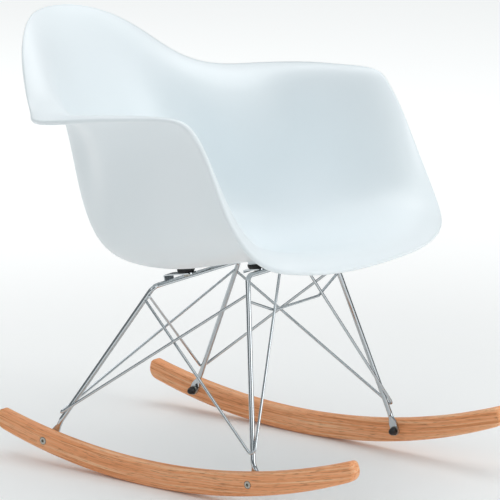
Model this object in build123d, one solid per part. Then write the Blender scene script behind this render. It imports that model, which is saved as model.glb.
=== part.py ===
from build123d import *
import math
import os

# Rocking armchair: a moulded shell on a wire base with two wooden rockers.
# X is the width, the sitter faces -Y, +Z is up. The origin is on the floor,
# on the centre line, where the rockers touch it at rest. Left is the sitter's left, +X.

# Rockers, mm
rocker_spacing = 440.0         # over the outside faces
rocker_thickness = 24.0
rocker_floor_radius = 1126.0   # curve that rolls on the floor
rocker_top_radius = 1250.0
rocker_top_shift = 8.0         # lowest point of the top curve, behind the resting point
rocker_depth = 40.5            # below that point
rocker_front_reach = 436.0     # ahead of the resting point
rocker_rear_reach = 331.0      # behind the resting point
rocker_edge_round = 6.0
rocker_tip_round = 7.5          # of the upper corners at the tips, seen from the side
rocker_heel_round = 19.0       # and of the lower ones

# Wire base
frame_wire = 8.8               # diameter of the two leg frames
brace_wire = 4.8               # diameter of the thin braces
weld_gap = 0.05                # left between two welded wires
crossbar_half_rear = 117.5     # half width at the bends of the rear crossbar
crossbar_half_front = 115.0
knee_rear = (203.5, 75.5)      # y, z where a rear leg turns down along the rocker
knee_front = (-206.5, 72.0)
top_bend_radius = 13.0
knee_bend_radius = 24.0
hairpin_height_rear = 1.0      # of a hairpin above the knee, along z
hairpin_height_front = 3.0 
hairpin_ease = 1.0             # more room round the leg at a hairpin's bend
brace_drop_behind = 18.0       # below the rear crossbar, of the end that crosses behind
brace_drop_before = 12.5       # and of the end that crosses before it
brace_drop_side = 22.0         # and of the ends that come from the front
brace_drop_front = 28.0
brace_stand = 28.0             # from the centre line to a front brace's top end
cross_ease = 1.3               # moves two brace ends so that their wires touch in passing
tie_half = 62.0                # half width of the straight part of the front tie
tie_drop = 66.0                # of that part below the front crossbar
tie_drop_ends = 39.0           # of its two ends

# Rocker joints
bolt_rise_rear = 18.5          # of a bolt above the rocker's underside
bolt_rise_front = 20.7
bolt_y_rear = 222.0
bolt_y_front = -216.5
rocker_bolt = 8.0
bolt_clearance = 0.2           # radial, in the rocker and in the tab
bolt_head = 12.6
bolt_head_height = 2.5
bolt_head_recess = 1.9
bolt_head_gap = 0.7            # radial, round a head in its recess
bolt_socket = 5.0              # across flats
bolt_socket_depth = 4.0
tab_thickness = 4.6
tab_width = 16.0
tab_neck = 20.0                # from the bolt to where the wire is round again
face_gap = 0.05                # between the tab and the rocker
cap_nut_flats = 13.0
cap_nut_height = 7.0
cap_nut_dome = 5.5
tab_washer = 16.0
tab_washer_thickness = 1.4
thread_clearance = 0.05        # radial, between a bolt and its nut or insert

# Seat mounts, on a plane that leans back
mount_tilt = 11.3              # degrees
boss_y = 26.2                  # of the rear mounts, at the face of the shell's bosses
boss_z = 344.4
mount_half_width = 75.0
mount_pitch = 152.5            # rear mounts to front mounts, along the plane
pad_diameter = 30.0
pad_foot = 25.0                # diameter where a pad stands on its bracket
pad_height = 8.0
bracket_thickness = 2.0
bracket_width = 24.0
bracket_nose = 16.0            # ahead of the bolt
bracket_tail_rear = 41.4       # behind the bolt
bracket_tail_front = 21.0
rear_bar_behind = 40.4         # rear crossbar behind the rear bolts, along the plane
rear_bar_below = 14.3          # and below the top of the bracket
front_lip = 5.5                # turned-down end of a front bracket
mount_bolt = 6.0
mount_hole = mount_bolt + 0.6
mount_head = mount_bolt + 4.0
mount_head_height = 3.3
mount_washer = mount_bolt + 6.0
mount_washer_thickness = 1.2
insert_diameter = mount_bolt + 3.0
insert_length = 5.4
insert_flange = insert_diameter + 3.0
boss_diameter = 27.0
boss_sink_rear = 5.2           # how far a boss reaches into the shell wall
boss_sink_front = 8.0

# Moulded shell
shell_thickness = 5.0
shell_rows = 28                # surface points from edge to edge
middle_length = 42.0           # half size of the flat middle of the seat
seat_middle = (0.0, 0.0, 354.0)
rings_boss_y = 26.2            # the rings are given for bosses at this y and z
rings_boss_z = 344.4
seat_slope = 0.2

# Rings of the shell's inner face, from the seat out to the rim. Each point is an
# angle round the seat (-90 front, 0 arm, 90 back) and x, y, z on the sitter's left.
seat_ring = [
    (-90, 0, -110, 378), (-45, 80, -75, 370), (0, 115, -5, 354), (45, 92, 66, 350),
    (90, 0, 92, 352)]
knee_ring = [
    (-90, 0, -180, 396), (-55, 110, -150, 394), (-25, 180, -80, 396), (5, 205, 8, 382),
    (35, 192, 102, 372), (62, 130, 160, 377), (90, 0, 182, 392)]
wall_ring = [
    (-90, 0, -250, 415), (-60, 110, -232, 416), (-38, 190, -180, 440), (-10, 226, -70, 484),
    (15, 230, 40, 485), (40, 192, 134, 470), (62, 141, 208, 490), (90, 0, 236, 505)]
neck_ring = [
    (-90, 0, -300, 421), (-64, 115, -288, 424), (-45, 190, -250, 437), (-30, 230, -200, 486),
    (-14, 236, -110, 590), (5, 238, -10, 615), (25, 224, 73, 606), (42, 172, 139, 600),
    (60, 147, 220, 635), (76, 85, 305, 690), (90, 0, 330, 700)]
crest_ring = [
    (-90, 0, -336, 412), (-66, 122, -319, 414), (-50, 200, -288, 424), (-40, 238, -250, 447),
    (-27, 255, -192, 547), (-15, 254, -134, 631), (-5, 257, -84, 652), (10, 262, 10, 648),
    (24, 268, 100, 640), (36, 260, 155, 635), (48, 226, 202, 635), (60, 180, 266, 659),
    (72, 115, 328, 712), (82, 52, 362, 732), (90, 0, 371, 735)]
rim_ring = [
    (-90, 0, -346, 401), (-68, 122, -332, 402), (-51, 206, -302, 411), (-41, 251, -265, 433),
    (-32, 270, -216, 501), (-24, 266, -177, 581), (-17, 265, -148, 627), (-10, 270, -120, 647),
    (0, 281, -50, 645), (14, 300, 40, 636), (26, 311, 120, 624), (36, 297, 172, 617),
    (47, 257, 212, 617), (57, 210, 260, 635), (66, 160, 310, 684), (75, 104, 350, 722),
    (83, 50, 376, 738), (90, 0, 386, 741)]

# Worked out from the sizes above
frame_radius = frame_wire / 2
brace_radius = brace_wire / 2
inner_face = rocker_spacing / 2 - rocker_thickness
leg_x = inner_face - face_gap - frame_radius
wrap = frame_radius + brace_radius + 0.6
tilt = math.radians(mount_tilt)
mount_y = boss_y - pad_height * math.sin(tilt)     # top of the rear brackets
mount_z = boss_z - pad_height * math.cos(tilt)
front_bar_ahead = mount_washer / 2 + frame_radius + 0.1
tie_offset = 1.8               # of the front tie behind the plane of the front legs
sides = (("right", -1), ("left", 1))


def rocker_underside(y):
    """Height of the rocker's rolling face above the floor."""
    return rocker_floor_radius - math.sqrt(rocker_floor_radius ** 2 - y * y)


bolt_height_rear = rocker_underside(bolt_y_rear) + bolt_rise_rear
bolt_height_front = rocker_underside(bolt_y_front) + bolt_rise_front


def mount_point(across, behind, above):
    """A point given on the leaning mount plane, measured from the rear mounts."""
    y = mount_y + behind * math.cos(tilt) + above * math.sin(tilt)
    z = mount_z - behind * math.sin(tilt) + above * math.cos(tilt)
    return Vector(across, y, z)


def mount_frame(across, behind, above=0.0):
    """Local plane at a mount: x across, z out of the mount plane."""
    normal = Vector(0, math.sin(tilt), math.cos(tilt))
    return Plane(mount_point(across, behind, above), x_dir=(1, 0, 0), z_dir=normal)


def bar_points():
    """Centres of the rear and front crossbars on the centre line."""
    rear = mount_point(0, rear_bar_behind, -rear_bar_below)
    below = bracket_thickness + weld_gap + frame_radius
    front = mount_point(0, -mount_pitch - front_bar_ahead, -below)
    return rear, front


rear_bar, front_bar = bar_points()


def leg_line(end, side):
    """Top bend and knee of one leg."""
    if end == "rear":
        top = Vector(side * crossbar_half_rear, rear_bar.Y, rear_bar.Z)
        return top, Vector(side * leg_x, knee_rear[0], knee_rear[1])
    top = Vector(side * crossbar_half_front, front_bar.Y, front_bar.Z)
    return top, Vector(side * leg_x, knee_front[0], knee_front[1])


def on_leg(end, side, z):
    """The point of a leg's centre line at height z."""
    top, knee = leg_line(end, side)
    return top + (knee - top) * ((top.Z - z) / (top.Z - knee.Z))


def frame_normal(end):
    """Unit normal of the plane that holds a leg frame, pointing backwards."""
    top, knee = leg_line(end, 1)
    run = Vector(0, knee.Y - top.Y, knee.Z - top.Z).normalized()
    normal = Vector(1, 0, 0).cross(run)
    if normal.Y < 0:
        normal = normal * -1
    return normal


def bent_wire(points, radii):
    """A path through the points, its inner corners rounded to the radii."""
    edges = []
    start = points[0]
    for corner, after, radius in zip(points[1:-1], points[2:], radii):
        back = (start - corner).normalized()
        ahead = (after - corner).normalized()
        half = back.get_angle(ahead) / 2
        reach = radius / math.tan(math.radians(half))
        middle = (back + ahead).normalized()
        depth = radius / math.sin(math.radians(half)) - radius
        first = corner + back * reach
        last = corner + ahead * reach
        edges.append(Edge.make_line(start, first))
        edges.append(Edge.make_three_point_arc(first, corner + middle * depth, last))
        start = last
    edges.append(Edge.make_line(start, points[-1]))
    return Wire(edges)


def rod(points, radii, diameter):
    """A round wire bent along a path."""
    path = bent_wire(points, radii)
    start = Plane(path @ 0, z_dir=path % 0)
    return sweep(start * Circle(diameter / 2), path=path)


def leg_cutter(a, b):
    """A cylinder round the wire from a to b, to shape the end of a welded brace."""
    start = Plane(a, z_dir=b - a)
    return extrude(start * Circle(frame_radius + weld_gap), (b - a).length)


def rocker_profile():
    """Side outline of a rocker, with Y along and Z up."""
    def top_z(y):
        along = y - rocker_top_shift
        return rocker_depth + rocker_top_radius - math.sqrt(rocker_top_radius ** 2 - along ** 2)

    def tip(y, radius_z):
        """Points of one end cut, square to the floor curve."""
        lean = y / radius_z
        bottom = (y, rocker_underside(y))
        top_y = y
        for _ in range(6):
            top_y = y - (top_z(top_y) - rocker_underside(y)) * lean
        return bottom, (top_y, top_z(top_y))

    front_low, front_high = tip(-rocker_front_reach, rocker_floor_radius)
    rear_low, rear_high = tip(rocker_rear_reach, rocker_floor_radius)
    outline = Wire([
        Edge.make_three_point_arc(front_low, (0, 0), rear_low),
        Edge.make_line(rear_low, rear_high),
        Edge.make_three_point_arc(rear_high, (0, top_z(0)), front_high),
        Edge.make_line(front_high, front_low)])
    face = Face(outline)
    heels = [v for v in face.vertices() if min(abs(v.X - front_low[0]), abs(v.X - rear_low[0])) < 0.01]
    face = fillet(heels, rocker_heel_round)
    tips = [v for v in face.vertices() if min(abs(v.X - front_high[0]), abs(v.X - rear_high[0])) < 0.01]
    return fillet(tips, rocker_tip_round)


def rocker(side):
    """A wooden rocker with its two bolt holes."""
    side_plane = Plane((side * inner_face, 0, 0), x_dir=(0, 1, 0), z_dir=(1, 0, 0))
    body = extrude(side_plane * rocker_profile(), side * rocker_thickness)
    long_edges = body.edges().filter_by(lambda e: abs(e.center().X) > 1)
    rims = long_edges.filter_by(lambda e: e.bounding_box().size.X < 0.01)
    body = fillet(rims, rocker_edge_round)
    outer = side * rocker_spacing / 2
    for y, z in ((bolt_y_rear, bolt_height_rear), (bolt_y_front, bolt_height_front)):
        hole_plane = Plane((outer, y, z), x_dir=(0, 1, 0), z_dir=(-side, 0, 0))
        body -= extrude(hole_plane * Circle(rocker_bolt / 2 + bolt_clearance), rocker_thickness)
        body -= extrude(hole_plane * Circle(bolt_head / 2 + bolt_head_gap), bolt_head_recess)
    return body


def leg_tab(side, knee, y, z):
    """The flattened foot of a leg, drilled for the rocker bolt, and its round neck."""
    top = Vector(side * leg_x, knee[0], knee[1])
    bolt = Vector(side * leg_x, y, z)
    up = (top - bolt).normalized()
    outer = side * (inner_face - face_gap)
    plate = Plane((outer, y, z), x_dir=up.cross(Vector(side, 0, 0)), z_dir=(-side, 0, 0))
    length = tab_neck * 0.55
    upward = Plane(plate.origin, x_dir=up, z_dir=plate.z_dir)
    shape = upward * (Circle(tab_width / 2) + Pos(length / 2, 0) * Rectangle(length, tab_width))
    tab = extrude(shape, tab_thickness)
    tab = chamfer(tab.edges().filter_by(GeomType.CIRCLE), 0.4)
    middle = Vector(side * (abs(outer) - leg_x - tab_thickness / 2), 0, 0)
    low = Plane(bolt + up * length + middle, x_dir=(1, 0, 0), z_dir=up)
    high = Plane(bolt + up * (tab_neck + 6), x_dir=(1, 0, 0), z_dir=up)
    neck = loft([low * Rectangle(tab_thickness, tab_width), high * Circle(frame_radius)])
    hole = extrude(plate * Circle(rocker_bolt / 2 + bolt_clearance), tab_thickness)
    return tab + neck - hole, bolt + up * (tab_neck + 6)


def leg_frame(end, knee, bolt_y, bolt_z):
    """One thick wire: two legs and a crossbar in a single bent piece."""
    tab_right, start = leg_tab(-1, knee, bolt_y, bolt_z)
    tab_left, finish = leg_tab(1, knee, bolt_y, bolt_z)
    top_right, knee_right = leg_line(end, -1)
    top_left, knee_left = leg_line(end, 1)
    points = [start, knee_right, top_right, top_left, knee_left, finish]
    radii = [knee_bend_radius, top_bend_radius, top_bend_radius, knee_bend_radius]
    return rod(points, radii, frame_wire) + tab_right + tab_left


def hairpin(end, side, height, back_end, front_end):
    """A thin wire bent round the outer corner of a leg, its arms running to two ends."""
    knee_z = leg_line(end, side)[1].Z
    centre = on_leg(end, side, knee_z + height)
    top, knee = leg_line(end, side)
    along = (top - knee).normalized()
    behind = frame_normal(end)
    outward = along.cross(behind)
    if outward.X * side < 0:
        outward = outward * -1
    away = behind if end == "rear" else behind * -1
    corner = centre + away * (wrap + hairpin_ease) + outward * (wrap + hairpin_ease)
    return rod([back_end, corner, front_end], [wrap * 0.9], brace_wire)


def rear_brace(side):
    """From the top of the opposite rear leg, round this one, to the front leg's top."""
    far_z = rear_bar.Z - (brace_drop_behind if side < 0 else brace_drop_before)
    behind = frame_normal("rear")
    offset = 1.2 if side < 0 else -wrap
    far = on_leg("rear", -side, far_z) + behind * offset
    if side > 0:
        far = far + Vector(-5, 0, 0)
    front = on_leg("front", side, front_bar.Z - brace_drop_front) - Vector(side * cross_ease, 0, 0)
    wire = hairpin("rear", side, hairpin_height_rear, far, front)
    if side < 0:
        wire -= leg_cutter(*leg_line("rear", -side))
    return wire - leg_cutter(*leg_line("front", side))


def front_brace(side):
    """From the top of the rear leg, round the front leg, to the front crossbar."""
    rear = on_leg("rear", side, rear_bar.Z - brace_drop_side) + Vector(side * cross_ease, 0, 0)
    bar = Vector(side * brace_stand, front_bar.Y, front_bar.Z) - frame_normal("front") * 2.0
    wire = hairpin("front", side, hairpin_height_front, rear, bar)
    wire -= leg_cutter(*leg_line("rear", side))
    half = Vector(crossbar_half_front - 20, 0, 0)
    return wire - leg_cutter(front_bar - half, front_bar + half)


def front_tie():
    """A thin wire between the front legs that carries the two front braces."""
    offset = frame_normal("front") * tie_offset
    down = (leg_line("front", 1)[1] - leg_line("front", 1)[0])
    slope = down.Y / down.Z
    low_z = front_bar.Z - tie_drop
    low_y = front_bar.Y - tie_drop * slope
    ends = [on_leg("front", s, front_bar.Z - tie_drop_ends) + offset for s in (-1, 1)]
    bends = [Vector(s * tie_half, low_y, low_z) + offset for s in (-1, 1)]
    wire = rod([ends[0], bends[0], bends[1], ends[1]], [14, 14], brace_wire)
    for side in (-1, 1):
        wire -= leg_cutter(*leg_line("front", side))
    return wire


def bracket(side, end):
    """A folded steel strip that carries one rubber pad."""
    rear = end == "rear"
    tail = bracket_tail_rear if rear else bracket_tail_front
    drop = rear_bar_below - frame_radius - weld_gap if rear else front_lip
    place = mount_frame(side * mount_half_width, 0 if rear else -mount_pitch)
    side_view = Plane(place.origin, x_dir=place.y_dir, z_dir=(1, 0, 0))
    t = bracket_thickness
    corners = [(-bracket_nose, 0), (tail, 0), (tail, -drop), (tail - t, -drop),
               (tail - t, -t), (-bracket_nose, -t)]
    strip = extrude(side_view * make_face(Polyline(corners, close=True)), bracket_width / 2,
                    both=True)
    bend = strip.edges().filter_by(Axis.X)
    outer = bend.sort_by_distance(place.from_local_coords(Vector(0, tail, 0)))[0]
    inner = bend.sort_by_distance(place.from_local_coords(Vector(0, tail - t, -t)))[0]
    strip = fillet(outer, 2.6)
    strip = fillet(strip.edges().filter_by(Axis.X).sort_by_distance(inner.center())[0], 0.6)
    nose = strip.edges().sort_by_distance(place.from_local_coords(Vector(0, -bracket_nose, -t / 2)))
    tips = [e for e in nose[:8] if abs(e.length - t) < 0.01]
    strip = fillet(tips, 7)
    return strip - extrude(place * Circle(mount_hole / 2), -t)


def pad(side, end):
    """A rubber shock pad, narrower at its foot, with a clearance hole for its bolt."""
    place = mount_frame(side * mount_half_width, 0 if end == "rear" else -mount_pitch, 0.02)
    height = pad_height - 0.04
    foot = place * Circle(pad_foot / 2)
    waist = place * Pos(0, 0, height * 0.45) * Circle(pad_diameter / 2)
    head = place * Pos(0, 0, height) * Circle(pad_diameter / 2)
    body = loft([foot, waist]) + loft([waist, head])
    return body - extrude(place * Circle(mount_hole / 2), height)


def mount_bolts():
    """The four bolts that hold the shell, entered from below."""
    bolts = []
    for _, side in sides:
        for behind in (0, -mount_pitch):
            under = -bracket_thickness - mount_washer_thickness - 0.04
            place = mount_frame(side * mount_half_width, behind, under)
            head = extrude(place * Circle(mount_head / 2), -mount_head_height)
            low_point = place.from_local_coords(Vector(0, 0, -mount_head_height))
            circles = head.edges().filter_by(GeomType.CIRCLE)
            head = fillet(circles.sort_by_distance(low_point)[0], 1.2)
            base = Plane(low_point, x_dir=(1, 0, 0), z_dir=place.z_dir)
            head -= extrude(base * RegularPolygon(2.3, 6), 2.0)
            reach = -under + pad_height + insert_length - 1.0
            bolts.append(head + extrude(place * Circle(mount_bolt / 2), reach))
    return Compound(bolts)


def mount_washers():
    washers = []
    for _, side in sides:
        for behind in (0, -mount_pitch):
            place = mount_frame(side * mount_half_width, behind, -bracket_thickness - 0.02)
            ring = Circle(mount_washer / 2) - Circle(mount_hole / 2)
            washers.append(extrude(place * ring, -mount_washer_thickness))
    return Compound(washers)


def inserts():
    """Four threaded bushes moulded into the shell's bosses."""
    bushes = []
    for _, side in sides:
        for behind in (0, -mount_pitch):
            place = mount_frame(side * mount_half_width, behind, pad_height + 0.1)
            bush = extrude(place * Circle(insert_diameter / 2), insert_length)
            bush += extrude(place * Circle(insert_flange / 2), 1.0)
            bushes.append(bush - extrude(place * Circle(mount_bolt / 2 + thread_clearance),
                                         insert_length))
    return Compound(bushes)


def rocker_bolts():
    """Four flat-headed socket bolts, from the outside of the rockers."""
    bolts = []
    inside = rocker_thickness + face_gap + tab_thickness + tab_washer_thickness + 0.04
    shank = inside + cap_nut_height
    for _, side in sides:
        for y, z in ((bolt_y_rear, bolt_height_rear), (bolt_y_front, bolt_height_front)):
            seat_x = side * (rocker_spacing / 2 - bolt_head_recess + 0.02)
            place = Plane((seat_x, y, z), x_dir=(0, 1, 0), z_dir=(side, 0, 0))
            head = extrude(place * Circle(bolt_head / 2), bolt_head_height)
            head = fillet(head.edges().sort_by(Axis.X)[-1 if side > 0 else 0], 0.8)
            top = Plane((seat_x + side * bolt_head_height, y, z), x_dir=(0, 1, 0),
                        z_dir=(side, 0, 0))
            shaft = extrude(place * Circle(rocker_bolt / 2), -(shank - bolt_head_recess))
            socket = extrude(top * RegularPolygon(bolt_socket / math.sqrt(3), 6),
                             -bolt_socket_depth)
            bolts.append(head + shaft - socket)
    return Compound(bolts)


def inner_plane(side, y, z, off):
    """Plane on the inside of a leg tab, its normal pointing to the centre line."""
    x = side * (inner_face - face_gap - tab_thickness - off)
    return Plane((x, y, z), x_dir=(0, 1, 0), z_dir=(-side, 0, 0))


def tab_washers():
    washers = []
    for _, side in sides:
        for y, z in ((bolt_y_rear, bolt_height_rear), (bolt_y_front, bolt_height_front)):
            place = inner_plane(side, y, z, 0.02)
            ring = Circle(tab_washer / 2) - Circle(rocker_bolt / 2 + bolt_clearance)
            washers.append(extrude(place * ring, tab_washer_thickness))
    return Compound(washers)


def cap_nuts():
    """Domed nuts that close the rocker bolts on the inside."""
    nuts = []
    for _, side in sides:
        for y, z in ((bolt_y_rear, bolt_height_rear), (bolt_y_front, bolt_height_front)):
            place = inner_plane(side, y, z, tab_washer_thickness + 0.04)
            hexagon = RegularPolygon(cap_nut_flats / math.sqrt(3), 6)
            body = extrude(place * hexagon, cap_nut_height)
            cone_foot = place * Circle(cap_nut_flats / math.sqrt(3) + 0.2)
            cone_top = place * Pos(0, 0, cap_nut_height + 4.5) * Circle(cap_nut_flats / 2 - 1.9)
            body = body & loft([cone_foot, cone_top])
            ball = Sphere(cap_nut_dome)
            dome_place = place * Pos(0, 0, cap_nut_height - 0.8)
            ball = dome_place * ball
            above = extrude(place * Pos(0, 0, 1.0) * Circle(12), 40)
            body = body + (ball & above)
            depth = cap_nut_height + 0.6
            nuts.append(body - extrude(place * Circle(rocker_bolt / 2 + thread_clearance), depth))
    return Compound(nuts)


def closed_spline(ring):
    """Cubic curve through a ring's points and their mirror images, by angle."""
    half = [(a, Vector(x, y, z)) for a, x, y, z in ring]
    other = [(180 - a, Vector(-p.X, p.Y, p.Z)) for a, p in reversed(half[1:-1])]
    knots = half + other
    count = len(knots)
    angles = [a for a, _ in knots]
    places = [p for _, p in knots]
    gaps = [(angles[(i + 1) % count] - angles[i]) % 360 for i in range(count)]
    slopes = [(places[(i + 1) % count] - places[i]) * (1 / gaps[i]) for i in range(count)]
    tangents = []
    for i in range(count):
        before = gaps[i - 1]
        after = gaps[i]
        mixed = slopes[i - 1] * after + slopes[i] * before
        tangents.append(mixed * (1 / (before + after)))

    # A few sweeps pull the tangents to those of the curvature-continuous spline.
    for _ in range(30):
        for i in range(count):
            before = gaps[i - 1]
            after = gaps[i]
            pull = (slopes[i - 1] * (3 / before) + slopes[i] * (3 / after))
            pull = pull - tangents[i - 1] * (1 / before) - tangents[(i + 1) % count] * (1 / after)
            tangents[i] = pull * (1 / (2 / before + 2 / after))

    def at(angle):
        angle = (angle - angles[0]) % 360 + angles[0]
        i = max(k for k in range(count) if angles[k] <= angle + 1e-9)
        gap = gaps[i]
        t = (angle - angles[i]) / gap
        h1 = 2 * t ** 3 - 3 * t ** 2 + 1
        h2 = t ** 3 - 2 * t ** 2 + t
        h3 = 3 * t ** 2 - 2 * t ** 3
        h4 = t ** 3 - t ** 2
        j = (i + 1) % count
        return places[i] * h1 + tangents[i] * (h2 * gap) + places[j] * h3 + tangents[j] * (h4 * gap)

    return at


def blend_weights(count, t):
    """Cubic B-spline weights of the rings at t, 0 at the middle and 1 at the rim."""
    inner = count - 4
    knots = [0.0] * 4 + [(i + 1) / (inner + 1) for i in range(inner)] + [1.0] * 4
    t = min(t, 1 - 1e-12)
    weights = [1.0 if knots[i] <= t < knots[i + 1] else 0.0 for i in range(len(knots) - 1)]
    for degree in range(1, 4):
        raised = []
        for i in range(len(weights) - 1):
            left = knots[i + degree] - knots[i]
            right = knots[i + degree + 1] - knots[i + 1]
            value = (t - knots[i]) / left * weights[i] if left else 0.0
            value += (knots[i + degree + 1] - t) / right * weights[i + 1] if right else 0.0
            raised.append(value)
        weights = raised
    return weights


rings = [closed_spline(r) for r in (seat_ring, knee_ring, wall_ring, neck_ring, crest_ring,
                                    rim_ring)]


def middle_ring(angle):
    """A small flat ellipse that keeps the middle of the seat smooth."""
    a = math.radians(angle)
    y = middle_length * math.sin(a)
    return Vector(middle_length * math.cos(a), y, -seat_slope * y) + Vector(*seat_middle)


def seat_surface(angle, t):
    """A point of the shell's inner face."""
    controls = [Vector(*seat_middle), middle_ring(angle)] + [ring(angle) for ring in rings]
    weights = blend_weights(len(controls), t)
    place = Vector(0, boss_y - rings_boss_y, boss_z - rings_boss_z)
    return sum((c * w for c, w in zip(controls, weights)), place)


def surface_normal(angle, t):
    """The unit normal of the inner face, pointing to the sitter."""
    t = max(t, 0.02)
    low = t - 1e-3
    high = min(t + 1e-3, 1.0)
    round_seat = seat_surface(angle + 0.2, t) - seat_surface(angle - 0.2, t)
    outwards = seat_surface(angle, high) - seat_surface(angle, low)
    return outwards.cross(round_seat).normalized()


def square_to_disc(u, v):
    """Angle and radius of the disc point that a point of the square -1..1 maps to."""
    x = u * math.sqrt(1 - v * v / 2)
    y = v * math.sqrt(1 - u * u / 2)
    return math.degrees(math.atan2(y, x)), min(math.hypot(x, y), 1.0)


def shell_solid():
    """The moulded wall between the inner face and its offset, closed round the rim."""
    steps = [-1 + 2 * i / shell_rows for i in range(shell_rows + 1)]
    inner_rows = []
    outer_rows = []
    for u in steps:
        inner_row = []
        outer_row = []
        for v in steps:
            angle, t = square_to_disc(u, v)
            point = seat_surface(angle, t)
            inner_row.append(point)
            outer_row.append(point - surface_normal(angle, t) * shell_thickness)
        inner_rows.append(inner_row)
        outer_rows.append(outer_row)
    inner = Face.make_surface_from_array_of_points(inner_rows, tol=0.4, min_deg=3)
    outer = Face.make_surface_from_array_of_points(outer_rows, tol=0.4, min_deg=3)
    rim = []
    for edge in inner.edges():
        twin = outer.edges().sort_by_distance(edge.center())[0]
        rim.append(Face.make_surface_from_curves(edge, twin))
    return Solid(Shell([inner, outer] + rim))


def moulded_shell():
    """The shell with its four mounting bosses."""
    body = shell_solid()
    for _, side in sides:
        for behind, sink in ((0, boss_sink_rear), (-mount_pitch, boss_sink_front)):
            place = mount_frame(side * mount_half_width, behind, pad_height + 0.02)
            body += extrude(place * Circle(boss_diameter / 2), sink)
    for _, side in sides:
        for behind in (0, -mount_pitch):
            place = mount_frame(side * mount_half_width, behind, pad_height)
            body -= extrude(place * Circle(insert_diameter / 2 + thread_clearance),
                            insert_length + 0.3)
            body -= extrude(place * Circle(insert_flange / 2 + thread_clearance), 1.15)
    return body


def build_all():
    """Every piece of the chair, by node name."""
    parts = {"shell": moulded_shell()}
    for name, side in sides:
        parts["rocker_" + name] = rocker(side)
        parts["rear_brace_" + name] = rear_brace(side)
        parts["front_brace_" + name] = front_brace(side)
        for end in ("rear", "front"):
            parts["bracket_" + end + "_" + name] = bracket(side, end)
            parts["shock_pad_" + end + "_" + name] = pad(side, end)
    parts["rear_leg_frame"] = leg_frame("rear", knee_rear, bolt_y_rear, bolt_height_rear)
    parts["front_leg_frame"] = leg_frame("front", knee_front, bolt_y_front, bolt_height_front)
    parts["front_tie_wire"] = front_tie()
    parts["threaded_inserts"] = inserts()
    parts["mount_bolts"] = mount_bolts()
    parts["mount_washers"] = mount_washers()
    parts["rocker_bolts"] = rocker_bolts()
    parts["tab_washers"] = tab_washers()
    parts["cap_nuts"] = cap_nuts()
    return parts


os.makedirs("parts", exist_ok=True)
for node, shape in build_all().items():
    export_step(shape, "parts/" + node + ".step")
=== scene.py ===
import math

import bmesh
import bpy
import numpy as np
from mathutils import Matrix, Vector


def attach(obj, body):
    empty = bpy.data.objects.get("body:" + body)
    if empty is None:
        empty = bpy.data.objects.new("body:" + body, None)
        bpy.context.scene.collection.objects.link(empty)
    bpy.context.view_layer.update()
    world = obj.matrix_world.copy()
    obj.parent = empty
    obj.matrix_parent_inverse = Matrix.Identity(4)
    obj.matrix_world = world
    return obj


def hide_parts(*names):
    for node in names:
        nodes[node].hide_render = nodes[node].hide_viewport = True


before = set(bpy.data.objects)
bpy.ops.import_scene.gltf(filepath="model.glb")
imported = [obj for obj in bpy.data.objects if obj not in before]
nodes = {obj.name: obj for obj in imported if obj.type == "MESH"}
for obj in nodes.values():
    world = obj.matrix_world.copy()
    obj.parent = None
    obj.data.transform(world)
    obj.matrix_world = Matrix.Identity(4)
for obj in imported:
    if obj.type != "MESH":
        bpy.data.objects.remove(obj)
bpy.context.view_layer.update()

# Rocking armchair: a moulded shell on a chromed wire base with two ash rockers.
# X is the width, the sitter faces -Y, Z is up. Blender works in metres, the sizes below in mm.

body = "root"


def linear(hexColour):
    # hex sRGB to the linear colour a shader takes
    parts = [int(hexColour[i:i + 2], 16) / 255 for i in (1, 3, 5)]
    return tuple(c / 12.92 if c < 0.04045 else ((c + 0.055) / 1.055) ** 2.4 for c in parts) + (1.0,)


def addNode(tree, kind, settings=None, links=None):
    # settings go to a property or an input, links are input: (node, output)
    node = tree.nodes.new(kind)
    for key, value in (settings or {}).items():
        if isinstance(key, str) and hasattr(node, key):
            setattr(node, key, value)
        else:
            node.inputs[key].default_value = value
    for key, (source, output) in (links or {}).items():
        tree.links.new(source.outputs[output], node.inputs[key])
    return node


def startMaterial(name):
    material = bpy.data.materials.new(name)
    material.use_nodes = True
    tree = material.node_tree
    shader = tree.nodes["Principled BSDF"]
    place = addNode(tree, "ShaderNodeTexCoord")
    return material, tree, shader, place


def rampColours(ramp, stops):
    # stops are (position, hex colour), and the first two reuse the ramp's own
    band = ramp.color_ramp
    while len(band.elements) < len(stops):
        band.elements.new(0.5)
    for element, (position, colour) in zip(band.elements, stops):
        element.position = position
        element.color = linear(colour)


plastic = {
    "cool": "#F1F7FA",
    "warm": "#EBF3F6",
    "ior": 1.49,
    "roughness": 0.34,
    "roughnessSpread": (-0.03, 0.05),  # least and most that the skin adds
    "coat": 0.12,
    "coatRoughness": 0.25,
    "flowScale": 3.0,        # soft flow shading about 0.3 m across
    "skinGrain": 0.9,        # mm, mould texture, drawn coarser than the real 0.2 mm so it shows
    "skinDepth": 0.2,        # mm
    "skinStrength": 0.05,
}


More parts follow.
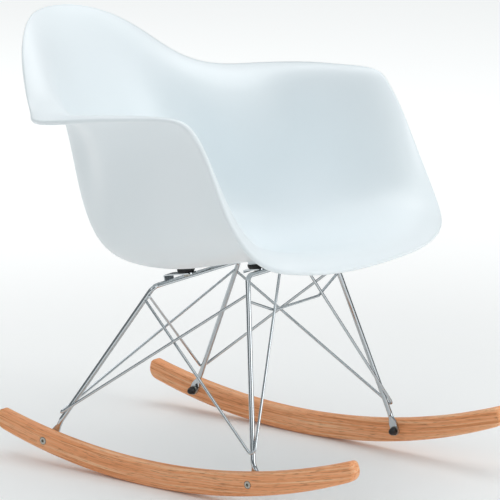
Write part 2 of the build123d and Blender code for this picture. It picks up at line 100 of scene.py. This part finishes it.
def mouldedPolypropylene():
    # injection-moulded, satin, faintly cool white with a soft wide highlight
    material, tree, shader, place = startMaterial("moulded polypropylene")
    flow = addNode(tree, "ShaderNodeTexNoise", {"Scale": plastic["flowScale"], "Detail": 2.0},
                   {"Vector": (place, "Object")})
    tone = addNode(tree, "ShaderNodeValToRGB", None, {"Fac": (flow, "Fac")})
    rampColours(tone, [(0.3, plastic["warm"]), (0.7, plastic["cool"])])
    skin = addNode(tree, "ShaderNodeTexNoise",
                   {"Scale": 1000 / plastic["skinGrain"], "Detail": 3.0, "Roughness": 0.6},
                   {"Vector": (place, "Object")})
    low, high = [plastic["roughness"] + change for change in plastic["roughnessSpread"]]
    gloss = addNode(tree, "ShaderNodeMapRange", {"To Min": low, "To Max": high},
                    {"Value": (skin, "Fac")})
    bump = addNode(tree, "ShaderNodeBump",
                   {"Strength": plastic["skinStrength"], "Distance": plastic["skinDepth"] / 1000},
                   {"Height": (skin, "Fac")})
    tree.links.new(tone.outputs["Color"], shader.inputs["Base Color"])
    tree.links.new(gloss.outputs["Result"], shader.inputs["Roughness"])
    tree.links.new(bump.outputs["Normal"], shader.inputs["Normal"])
    shader.inputs["IOR"].default_value = plastic["ior"]
    shader.inputs["Coat Weight"].default_value = plastic["coat"]
    shader.inputs["Coat Roughness"].default_value = plastic["coatRoughness"]
    return material


ash = {
    "pale": "#FFCFA2",
    "body": "#F8A872",
    "late": "#DA8A50",
    "pore": "#A4602F",
    "ior": 1.5,
    "ringWidth": 3.2,        # mm across the grain, drawn a little wide so it shows
    "ringLength": 260.0,     # mm along it
    "ringDepth": 0.35,       # rings to the mm through the thickness, as a share of those across
    "poreWidth": 0.9,        # mm, drawn wider than the real 0.3 mm so it shows
    "poreLength": 22.0,
    "poreShare": (0.57, 0.70, 0.65),   # noise where a pore starts, where it is full, how dark
    "poreDepth": 0.4,        # mm
    "poreStrength": 0.22,
    "roughness": (0.40, 0.56),
    "wander": 0.012,         # m, how far a ring strays from straight
    "wanderScale": 5.0,      # a stray about 0.2 m long
    "follow": 0.80,          # how much of the rocker's curve the grain follows
    "rockerRadius": 1.15,    # m
}


def oiledAsh():
    # sawn and sanded ash under oil: long straight growth rings, open pores, low sheen
    material, tree, shader, place = startMaterial("oiled ash")
    axes = addNode(tree, "ShaderNodeSeparateXYZ", None, {"Vector": (place, "Object")})
    squared = addNode(tree, "ShaderNodeMath", {"operation": "MULTIPLY"},
                      {0: (axes, "Y"), 1: (axes, "Y")})
    sag = addNode(tree, "ShaderNodeMath",
                  {"operation": "MULTIPLY", 1: -ash["follow"] / (2 * ash["rockerRadius"])},
                  {0: (squared, "Value")})
    height = addNode(tree, "ShaderNodeMath", {"operation": "ADD"},
                     {0: (axes, "Z"), 1: (sag, "Value")})
    grain = addNode(tree, "ShaderNodeCombineXYZ", None,
                    {"X": (axes, "X"), "Y": (axes, "Y"), "Z": (height, "Value")})
    wander = addNode(tree, "ShaderNodeTexNoise", {"Scale": ash["wanderScale"], "Detail": 1.0},
                     {"Vector": (grain, "Vector")})
    wandered = addNode(tree, "ShaderNodeVectorMath",
                       {"operation": "MULTIPLY_ADD", 1: (0.0, 0.0, ash["wander"])},
                       {0: (wander, "Color"), 2: (grain, "Vector")})
    across, along = 1000 / ash["ringWidth"], 1000 / ash["ringLength"]
    ringSpace = addNode(tree, "ShaderNodeMapping", {"Scale": (across * ash["ringDepth"], along, across)},
                        {"Vector": (wandered, "Vector")})
    rings = addNode(tree, "ShaderNodeTexNoise", {"Scale": 1.0, "Detail": 2.5, "Roughness": 0.55},
                    {"Vector": (ringSpace, "Vector")})
    tone = addNode(tree, "ShaderNodeValToRGB", None, {"Fac": (rings, "Fac")})
    rampColours(tone, [(0.30, ash["late"]), (0.46, ash["body"]), (0.72, ash["pale"])])
    poreSpace = addNode(tree, "ShaderNodeMapping",
                        {"Scale": (1000 / ash["poreWidth"], 1000 / ash["poreLength"],
                                   1000 / ash["poreWidth"])},
                        {"Vector": (wandered, "Vector")})
    pores = addNode(tree, "ShaderNodeTexNoise", {"Scale": 1.0, "Detail": 1.0},
                    {"Vector": (poreSpace, "Vector")})
    opens, full, depth = ash["poreShare"]
    poreMask = addNode(tree, "ShaderNodeMapRange",
                       {"From Min": opens, "From Max": full, "To Min": 0.0, "To Max": depth},
                       {"Value": (pores, "Fac")})
    colour = addNode(tree, "ShaderNodeMix", {"data_type": "RGBA", "blend_type": "MIX"},
                     {0: (poreMask, "Result"), 6: (tone, "Color")})
    colour.inputs[7].default_value = linear(ash["pore"])
    low, high = ash["roughness"]
    gloss = addNode(tree, "ShaderNodeMapRange", {"To Min": low, "To Max": high},
                    {"Value": (rings, "Fac")})
    bump = addNode(tree, "ShaderNodeBump",
                   {"Strength": ash["poreStrength"], "Distance": ash["poreDepth"] / 1000},
                   {"Height": (pores, "Fac")})
    bump.invert = True
    tree.links.new(colour.outputs[2], shader.inputs["Base Color"])
    tree.links.new(gloss.outputs["Result"], shader.inputs["Roughness"])
    tree.links.new(bump.outputs["Normal"], shader.inputs["Normal"])
    shader.inputs["IOR"].default_value = ash["ior"]
    return material


# grain and bump depth in mm
metals = {
    "chrome-plated steel wire": {
        # drawn wire, polished and chromed: nearly a mirror, faintly blue
        "colour": "#C3C8CB", "roughness": (0.05, 0.13), "grain": 9.0, "bump": 0.03, "depth": 0.2},
    "zinc-plated steel": {
        # turned fasteners, dull grey with soft highlights
        "colour": "#B9B7AE", "roughness": (0.28, 0.42), "grain": 1.5, "bump": 0.10, "depth": 0.2},
    "brass": {
        # turned bush, warm and a little dull
        "colour": "#D3B26B", "roughness": (0.30, 0.45), "grain": 1.5, "bump": 0.08, "depth": 0.2},
}


def plainMetal(name):
    values = metals[name]
    material, tree, shader, place = startMaterial(name)
    wear = addNode(tree, "ShaderNodeTexNoise", {"Scale": 1000 / values["grain"], "Detail": 3.0},
                   {"Vector": (place, "Object")})
    low, high = values["roughness"]
    gloss = addNode(tree, "ShaderNodeMapRange", {"To Min": low, "To Max": high},
                    {"Value": (wear, "Fac")})
    bump = addNode(tree, "ShaderNodeBump",
                   {"Strength": values["bump"], "Distance": values["depth"] / 1000},
                   {"Height": (wear, "Fac")})
    tree.links.new(gloss.outputs["Result"], shader.inputs["Roughness"])
    tree.links.new(bump.outputs["Normal"], shader.inputs["Normal"])
    shader.inputs["Metallic"].default_value = 1.0
    shader.inputs["Base Color"].default_value = linear(values["colour"])
    return material


darks = {
    "moulded black rubber": {
        # matt with a fine mould skin
        "low": "#141516", "high": "#222425", "roughness": (0.62, 0.80), "grain": 1.2,
        "bump": 0.25, "depth": 0.3},
    "black nylon cap": {
        # moulded cap over the nut, a little glossier than the rubber
        "low": "#0F1011", "high": "#1B1C1E", "roughness": (0.34, 0.48), "grain": 1.0,
        "bump": 0.25, "depth": 0.3},
}


def darkMoulding(name):
    values = darks[name]
    material, tree, shader, place = startMaterial(name)
    skin = addNode(tree, "ShaderNodeTexNoise", {"Scale": 1000 / values["grain"], "Detail": 4.0},
                   {"Vector": (place, "Object")})
    tone = addNode(tree, "ShaderNodeValToRGB", None, {"Fac": (skin, "Fac")})
    rampColours(tone, [(0.35, values["low"]), (0.7, values["high"])])
    low, high = values["roughness"]
    gloss = addNode(tree, "ShaderNodeMapRange", {"To Min": low, "To Max": high},
                    {"Value": (skin, "Fac")})
    bump = addNode(tree, "ShaderNodeBump",
                   {"Strength": values["bump"], "Distance": values["depth"] / 1000},
                   {"Height": (skin, "Fac")})
    tree.links.new(tone.outputs["Color"], shader.inputs["Base Color"])
    tree.links.new(gloss.outputs["Result"], shader.inputs["Roughness"])
    tree.links.new(bump.outputs["Normal"], shader.inputs["Normal"])
    return material


shellPlastic = mouldedPolypropylene()
rockerWood = oiledAsh()
chrome = plainMetal("chrome-plated steel wire")
zinc = plainMetal("zinc-plated steel")
bushBrass = plainMetal("brass")
padRubber = darkMoulding("moulded black rubber")
nutCap = darkMoulding("black nylon cap")
print("materials made")


# Each ring is angle (-90 front, 0 arm, 90 back) and x, y, z of the inner face on the left.
shellRings = [
    [(-90, 0, -110, 378), (-45, 80, -75, 370), (0, 115, -5, 354), (45, 92, 66, 350),
     (90, 0, 92, 352)],
    [(-90, 0, -180, 396), (-55, 110, -150, 394), (-25, 180, -80, 396), (5, 205, 8, 382),
     (35, 192, 102, 372), (62, 130, 160, 377), (90, 0, 182, 392)],
    [(-90, 0, -250, 415), (-60, 110, -232, 416), (-38, 190, -180, 440), (-10, 226, -70, 484),
     (15, 230, 40, 485), (40, 192, 134, 470), (62, 141, 208, 490), (90, 0, 236, 505)],
    [(-90, 0, -300, 421), (-64, 115, -288, 424), (-45, 190, -250, 437), (-30, 230, -200, 486),
     (-14, 236, -110, 590), (5, 238, -10, 615), (25, 224, 73, 606), (42, 172, 139, 600),
     (60, 147, 220, 635), (76, 85, 305, 690), (90, 0, 330, 700)],
    [(-90, 0, -336, 412), (-66, 122, -319, 414), (-50, 200, -288, 424), (-40, 238, -250, 447),
     (-27, 255, -192, 547), (-15, 254, -134, 631), (-5, 257, -84, 652), (10, 262, 10, 648),
     (24, 268, 100, 640), (36, 260, 155, 635), (48, 226, 202, 635), (60, 180, 266, 659),
     (72, 115, 328, 712), (82, 52, 362, 732), (90, 0, 371, 735)],
    [(-90, 0, -346, 401), (-68, 122, -332, 402), (-51, 206, -302, 411), (-41, 251, -265, 433),
     (-32, 270, -216, 501), (-24, 266, -177, 581), (-17, 265, -148, 627), (-10, 270, -120, 647),
     (0, 281, -50, 645), (14, 300, 40, 636), (26, 311, 120, 624), (36, 297, 172, 617),
     (47, 257, 212, 617), (57, 210, 260, 635), (66, 160, 310, 684), (75, 104, 350, 722),
     (83, 50, 376, 738), (90, 0, 386, 741)],
]

shellSizes = {
    "wall": 5.0,             # mm
    "hemRadius": 4.8,        # of the rolled edge
    "hemFade": 7.0,          # from the roll back into the wall
    "middle": 42.0,          # half size of the flat middle
    "middleZ": 354.0,
    "middleSlope": 0.2,
    "hemTurn": 195,          # degrees, how far the edge rolls round
    "hemStep": 15,
    "columns": 288,
    "rows": 72,
}


def ringCurve(ring, angles):
    # periodic cubic spline through a ring and its mirror image, at the given angles
    half = [(a, (x, y, z)) for a, x, y, z in ring]
    mirrored = [(180 - a, (-p[0], p[1], p[2])) for a, p in reversed(half[1:-1])]
    knots = np.array([a for a, _ in half + mirrored], float)
    places = np.array([p for _, p in half + mirrored], float)
    count = len(knots)
    gaps = np.mod(np.roll(knots, -1) - knots, 360)
    before = np.roll(gaps, 1)
    slopes = (np.roll(places, -1, 0) - places) / gaps[:, None]
    system = np.zeros((count, count))
    for i in range(count):
        system[i, i] = 2 / before[i] + 2 / gaps[i]
        system[i, i - 1] += 1 / before[i]
        system[i, (i + 1) % count] += 1 / gaps[i]
    wanted = 3 * (np.roll(slopes, 1, 0) / before[:, None] + slopes / gaps[:, None])
    tangents = np.linalg.solve(system, wanted)
    turned = np.mod(angles - knots[0], 360) + knots[0]
    at = np.clip(np.searchsorted(knots, turned, side="right") - 1, 0, count - 1)
    nextAt = (at + 1) % count
    t = ((turned - knots[at]) / gaps[at])[:, None]
    gap = gaps[at][:, None]
    return (places[at] * (2 * t ** 3 - 3 * t ** 2 + 1) + tangents[at] * gap * (t ** 3 - 2 * t ** 2 + t)
            + places[nextAt] * (3 * t ** 2 - 2 * t ** 3) + tangents[nextAt] * gap * (t ** 3 - t ** 2))


def ringWeights(count, t):
    # clamped cubic B-spline weights, t from 0 in the middle to 1 at the rim
    inner = count - 4
    knots = np.array([0.0] * 4 + [(i + 1) / (inner + 1) for i in range(inner)] + [1.0] * 4)
    t = np.minimum(t, 1 - 1e-9)
    weights = [((knots[i] <= t) & (t < knots[i + 1])).astype(float) for i in range(len(knots) - 1)]
    for degree in range(1, 4):
        raised = []
        for i in range(len(weights) - 1):
            low, high = knots[i + degree] - knots[i], knots[i + degree + 1] - knots[i + 1]
            value = (t - knots[i]) / low * weights[i] if low else 0 * t
            if high:
                value = value + (knots[i + degree + 1] - t) / high * weights[i + 1]
            raised.append(value)
        weights = raised
    return np.array(weights)


def seatPoints(angles, t):
    # points of the inner face, t may be one value for each angle
    turns = np.radians(angles)
    half, level = shellSizes["middle"], shellSizes["middleZ"]
    centre = np.zeros((len(angles), 3)) + (0, 0, level)
    middle = np.stack([half * np.cos(turns), half * np.sin(turns),
                       level - shellSizes["middleSlope"] * half * np.sin(turns)], 1)
    controls = [centre, middle] + [ringCurve(ring, angles) for ring in shellRings]
    weights = ringWeights(len(controls), np.broadcast_to(t, angles.shape).astype(float))
    return sum(c * w[:, None] for c, w in zip(controls, weights))


def unit(vectors):
    return vectors / np.maximum(np.linalg.norm(vectors, axis=1), 1e-12)[:, None]


def seatFrame(angles, t):
    # point, normal to the sitter and the outward direction along the face
    t = np.broadcast_to(t, angles.shape)
    point = seatPoints(angles, t)
    clear = np.maximum(t, 0.02)      # the middle has no direction of its own
    nudge, swing = 1e-3, 0.15        # of t, and of the angle in degrees
    outwards = seatPoints(angles, np.minimum(clear + nudge, 1)) - seatPoints(angles, clear - nudge)
    sideways = seatPoints(angles + swing, clear) - seatPoints(angles - swing, clear)
    normal = unit(np.cross(outwards, sideways))
    return point, normal, unit(np.cross(sideways, normal))


def mouldedShell():
    # inner face, rolled rim and outer face as one closed skin
    sizes = shellSizes
    count = sizes["columns"]
    angles = -90 + 360 * np.arange(count) / count
    rimShare = 0.02                  # of t, to measure how many mm t stands for at the rim
    rimStep = seatPoints(angles, np.full(count, 1.0)) - seatPoints(angles, np.full(count, 1 - rimShare))
    perStep = np.linalg.norm(rimStep, axis=1) / rimShare
    insideEnd = 1 - sizes["hemRadius"] / perStep
    outsideEnd = 1 - (sizes["hemRadius"] + sizes["hemFade"]) / perStep
    loops = []
    for i in range(1, sizes["rows"] + 1):
        share = i / sizes["rows"]
        loops.append(seatFrame(angles, insideEnd * share)[0])
    point, normal, outward = seatFrame(angles, insideEnd)
    radius = sizes["hemRadius"]
    centre = point - normal * radius
    for turn in np.radians(np.arange(sizes["hemStep"], sizes["hemTurn"] + 1, sizes["hemStep"])):
        loops.append(centre + radius * (math.cos(turn) * normal + math.sin(turn) * outward))
    last = math.radians(sizes["hemTurn"])
    startPoint = loops[-1]
    startWay = -math.sin(last) * normal + math.cos(last) * outward
    wallPoint, wallNormal, wallOut = seatFrame(angles, outsideEnd)
    endPoint = wallPoint - wallNormal * sizes["wall"]
    span = np.linalg.norm(endPoint - startPoint, axis=1)[:, None]
    for share in (0.2, 0.4, 0.6, 0.8):   # from the roll back to the wall, as a smooth curve
        a, b = 2 * share ** 3 - 3 * share ** 2 + 1, share ** 3 - 2 * share ** 2 + share
        c, d = 3 * share ** 2 - 2 * share ** 3, share ** 3 - share ** 2
        loops.append(startPoint * a + startWay * span * b + endPoint * c - wallOut * span * d)
    for i in range(sizes["rows"], 0, -1):
        share = i / sizes["rows"]
        point, normal, _ = seatFrame(angles, outsideEnd * share)
        loops.append(point - normal * sizes["wall"])
    top = seatPoints(angles[:1], np.zeros(1))
    topNormal = np.array([0, sizes["middleSlope"], 1.0]) / math.hypot(1, sizes["middleSlope"])
    vertices = np.concatenate(loops + [top, top - topNormal * sizes["wall"]]) / 1000
    faces = []
    for row in range(len(loops) - 1):
        for column in range(count):
            right = (column + 1) % count
            faces.append((row * count + column, row * count + right,
                          (row + 1) * count + right, (row + 1) * count + column))
    first, lastRow = len(loops) * count, (len(loops) - 1) * count
    for column in range(count):
        right = (column + 1) % count
        faces.append((first, right, column))
        faces.append((first + 1, lastRow + column, lastRow + right))
    mesh = bpy.data.meshes.new("shellSkin")
    mesh.from_pydata(vertices.tolist(), [], faces)
    return mesh


bosses = {
    "tilt": 11.3,            # degrees, of the seat mounts
    "rear": (26.2, 344.4),   # y, z of the rear boss faces
    "pitch": 152.5,          # from the rear ones to the front ones, along the tilt
    "across": 75.0,          # from the centre line
    # radius and height from the boss face up into the wall
    "profile": [(0, 0), (12.9, 0), (13.5, 0.6), (13.6, 2.6), (14.0, 4.0), (14.6, 4.8), (0, 4.8)],
    "segments": 48,
    "frontReach": 1.4,       # the front ones are this much longer
    "thickness": 1.0,        # all of them, times their size
}


def bossMesh(profile, segments):
    # a turned boss, its face at the origin and its axis along Z
    bm = bmesh.new()
    columns = []
    for k in range(segments):
        turn = 2 * math.pi * k / segments
        columns.append([bm.verts.new((r / 1000 * math.cos(turn), r / 1000 * math.sin(turn), z / 1000))
                        for r, z in profile[1:-1]])
    low = bm.verts.new((0, 0, profile[0][1] / 1000))
    high = bm.verts.new((0, 0, profile[-1][1] / 1000))
    for k in range(segments):
        a, b = columns[k], columns[(k + 1) % segments]
        bm.faces.new((low, b[0], a[0]))
        bm.faces.new((high, a[-1], b[-1]))
        for i in range(len(a) - 1):
            bm.faces.new((a[i], b[i], b[i + 1], a[i + 1]))
    bmesh.ops.recalc_face_normals(bm, faces=bm.faces)
    mesh = bpy.data.meshes.new("shellBoss")
    bm.to_mesh(mesh)
    bm.free()
    return mesh


def repeatTree(name, source, material):
    # copies of one object on the points of a mesh, sized and turned by each point
    tree = bpy.data.node_groups.new(name, "GeometryNodeTree")
    sockets = tree.interface
    sockets.new_socket("Geometry", in_out="INPUT", socket_type="NodeSocketGeometry")
    sockets.new_socket("Thickness", in_out="INPUT", socket_type="NodeSocketFloat").default_value = 1.0
    sockets.new_socket("Geometry", in_out="OUTPUT", socket_type="NodeSocketGeometry")
    entry = addNode(tree, "NodeGroupInput")
    shape = addNode(tree, "GeometryNodeObjectInfo", {"Object": source})
    way = addNode(tree, "GeometryNodeInputNamedAttribute",
                  {"data_type": "FLOAT_VECTOR", "Name": "way"})
    stretch = addNode(tree, "GeometryNodeInputNamedAttribute",
                      {"data_type": "FLOAT_VECTOR", "Name": "stretch"})
    turn = addNode(tree, "FunctionNodeAlignRotationToVector", {"axis": "Z"},
                   {"Vector": (way, "Attribute")})
    size = addNode(tree, "ShaderNodeVectorMath", {"operation": "SCALE"},
                   {0: (stretch, "Attribute"), "Scale": (entry, "Thickness")})
    copies = addNode(tree, "GeometryNodeInstanceOnPoints", None,
                     {"Points": (entry, "Geometry"), "Instance": (shape, "Geometry"),
                      "Rotation": (turn, "Rotation"), "Scale": (size, "Vector")})
    real = addNode(tree, "GeometryNodeRealizeInstances", None, {"Geometry": (copies, "Instances")})
    finish = addNode(tree, "GeometryNodeSetMaterial", {"Material": material},
                     {"Geometry": (real, "Geometry")})
    addNode(tree, "NodeGroupOutput", None, {"Geometry": (finish, "Geometry")})
    return tree


def repeated(name, places, ways, stretches, shapeMesh, material, thickness):
    # runs the tree on loose points and returns one plain mesh
    shape = bpy.data.objects.new(name + "Shape", shapeMesh)
    points = bpy.data.meshes.new(name + "Points")
    points.from_pydata([tuple(p) for p in places], [], [])
    for key, values in (("way", ways), ("stretch", stretches)):
        layer = points.attributes.new(key, "FLOAT_VECTOR", "POINT")
        layer.data.foreach_set("vector", [c for v in values for c in v])
    holder = bpy.data.objects.new(name, points)
    bpy.context.scene.collection.objects.link(holder)
    bpy.context.scene.collection.objects.link(shape)
    modifier = holder.modifiers.new("copies", "NODES")
    modifier.node_group = repeatTree(name + "Tree", shape, material)
    for item in modifier.node_group.interface.items_tree:
        if item.name == "Thickness":
            modifier[item.identifier] = thickness
    bpy.context.view_layer.update()
    evaluated = holder.evaluated_get(bpy.context.evaluated_depsgraph_get())
    finished = bpy.data.meshes.new_from_object(evaluated)
    holder.modifiers.clear()
    for spare in (holder, shape):
        bpy.data.objects.remove(spare)
    return finished


def shellBosses():
    # the four bosses under the seat
    lean = math.radians(bosses["tilt"])
    up = (0.0, math.sin(lean), math.cos(lean))
    y, z = bosses["rear"]
    places, stretches = [], []
    for behind, reach in ((0, 1.0), (-bosses["pitch"], bosses["frontReach"])):
        for side in (-1, 1):
            places.append((side * bosses["across"] / 1000, (y + behind * math.cos(lean)) / 1000,
                           (z - behind * math.sin(lean)) / 1000))
            stretches.append((1.0, 1.0, reach))
    oneBoss = bossMesh(bosses["profile"], bosses["segments"])
    return repeated("bosses", places, [up] * len(places), stretches, oneBoss, shellPlastic,
                    bosses["thickness"])


skin = mouldedShell()
bm = bmesh.new()
bm.from_mesh(skin)
bmesh.ops.recalc_face_normals(bm, faces=bm.faces)
bm.from_mesh(shellBosses())
bm.to_mesh(skin)
bm.free()
skin.materials.clear()
skin.materials.append(shellPlastic)
skin.shade_smooth()
shell = bpy.data.objects.new("mouldedShell", skin)
bpy.context.scene.collection.objects.link(shell)
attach(shell, body)
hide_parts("shell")
print("shell made:", len(skin.polygons), "faces")


finishes = {
    "rocker": rockerWood,
    "rear_leg_frame": chrome, "front_leg_frame": chrome, "front_tie_wire": chrome,
    "rear_brace": chrome, "front_brace": chrome, "bracket": chrome,
    "shock_pad": padRubber, "cap_nuts": nutCap,
    "threaded_inserts": bushBrass,
    "mount_bolts": zinc, "mount_washers": zinc, "rocker_bolts": zinc, "tab_washers": zinc,
}

for name, piece in nodes.items():
    for start in sorted(finishes, key=len, reverse=True):
        if name.startswith(start):
            for slotAt in range(len(piece.material_slots)):
                piece.material_slots[slotAt].material = finishes[start]
            if not piece.material_slots:
                piece.data.materials.append(finishes[start])
            break
print("finishes set")


studio = {
    "floor": "#F7F7F6",
    "floorRoughness": 0.9,
    "floorGlow": (0.03, 0.46),   # painted light: the floor glows, little near the chair and more far from it, like a lit paper sweep
    "glowFrom": (0.5, 2.6),      # m from the chair
    "floorSize": 14.0,           # m
    "floorCells": 8,
    "sky": "#EEF4F7",            # overhead
    "haze": "#848B8F",           # near the horizon
    "horizon": (0.05, 0.45),     # upward share of a direction where haze ends and sky starts
    "worldStrength": 0.46,
    "lights": [
        # name, size, power, place, target
        ("overhead", 3.4, 54, (0.2, 0.2, 3.4), (0, 0, 0.4)),
        ("front", 2.2, 44, (0.9, -3.6, 1.5), (0, 0, 0.5)),
        ("left", 2.2, 16, (-3.6, -1.0, 2.6), (0, 0, 0.5)),
        ("rear", 1.8, 14, (0.8, 3.2, 2.4), (0, 0, 0.4)),
    ],
}

floorMesh = bpy.data.meshes.new("floor")
half, cells = studio["floorSize"] / 2, studio["floorCells"]
marks = [-half + 2 * half * i / cells for i in range(cells + 1)]
across = cells + 1
floorMesh.from_pydata([(x, y, 0) for y in marks for x in marks], [],
                      [(k, k + 1, k + 1 + across, k + across)
                       for k in (j * across + i for j in range(cells) for i in range(cells))])
floor = bpy.data.objects.new("floor", floorMesh)
bpy.context.scene.collection.objects.link(floor)
paper, paperTree, paperShader, paperPlace = startMaterial("matt studio paper")
paperShader.inputs["Base Color"].default_value = linear(studio["floor"])
paperShader.inputs["Roughness"].default_value = studio["floorRoughness"]
# painted light: the paper glows in its own colour, more the farther it lies from the chair
paperShader.inputs["Emission Color"].default_value = linear(studio["floor"])
reach = addNode(paperTree, "ShaderNodeVectorMath", {"operation": "LENGTH"},
                {0: (paperPlace, "Object")})
glow = addNode(paperTree, "ShaderNodeMapRange",
               {"interpolation_type": "SMOOTHSTEP",
                "From Min": studio["glowFrom"][0], "From Max": studio["glowFrom"][1],
                "To Min": studio["floorGlow"][0], "To Max": studio["floorGlow"][1]},
               {"Value": (reach, "Value")})
paperTree.links.new(glow.outputs["Result"], paperShader.inputs["Emission Strength"])
floorMesh.materials.append(paper)

world = bpy.data.worlds.new("studio")
world.use_nodes = True
sky = world.node_tree.nodes["Background"]
sky.inputs["Strength"].default_value = studio["worldStrength"]
skyPlace = addNode(world.node_tree, "ShaderNodeTexCoord")
skyAxes = addNode(world.node_tree, "ShaderNodeSeparateXYZ", None,
                  {"Vector": (skyPlace, "Generated")})
skyTone = addNode(world.node_tree, "ShaderNodeValToRGB", None, {"Fac": (skyAxes, "Z")})
rampColours(skyTone, list(zip(studio["horizon"], (studio["haze"], studio["sky"]))))
world.node_tree.links.new(skyTone.outputs["Color"], sky.inputs["Color"])
bpy.context.scene.world = world

for name, size, power, place, target in studio["lights"]:
    lamp = bpy.data.lights.new(name, "AREA")
    lamp.size = size
    lamp.energy = power
    holder = bpy.data.objects.new(name, lamp)
    bpy.context.scene.collection.objects.link(holder)
    holder.location = place
    holder.rotation_euler = (Vector(target) - Vector(place)).to_track_quat("-Z", "Y").to_euler()

view = {
    "aim": (0.0912, 0.0179, 0.3444),
    "azimuth": -52.37,       # degrees round the chair, 0 looks along +Y
    "elevation": 13.58,
    "distance": 7.942,
    "lens": 334.9,           # mm
    "sensor": 36,            # mm
    "clipEnd": 60,           # m
}

turn, lift = math.radians(view["azimuth"]), math.radians(view["elevation"])
right = Vector((math.cos(turn), math.sin(turn), 0))
back = Vector((math.sin(turn) * math.cos(lift), -math.cos(turn) * math.cos(lift), math.sin(lift)))
upward = back.cross(right)
spot = Vector(view["aim"]) + back * view["distance"]
lensHolder = bpy.data.cameras.new("camera")
lensHolder.lens = view["lens"]
lensHolder.sensor_width = view["sensor"]
lensHolder.clip_end = view["clipEnd"]
camera = bpy.data.objects.new("camera", lensHolder)
bpy.context.scene.collection.objects.link(camera)
camera.matrix_world = Matrix(((right.x, upward.x, back.x, spot.x), (right.y, upward.y, back.y, spot.y),
                              (right.z, upward.z, back.z, spot.z), (0, 0, 0, 1)))
bpy.context.scene.camera = camera
bpy.context.scene.view_settings.view_transform = "Standard"
print("studio set")
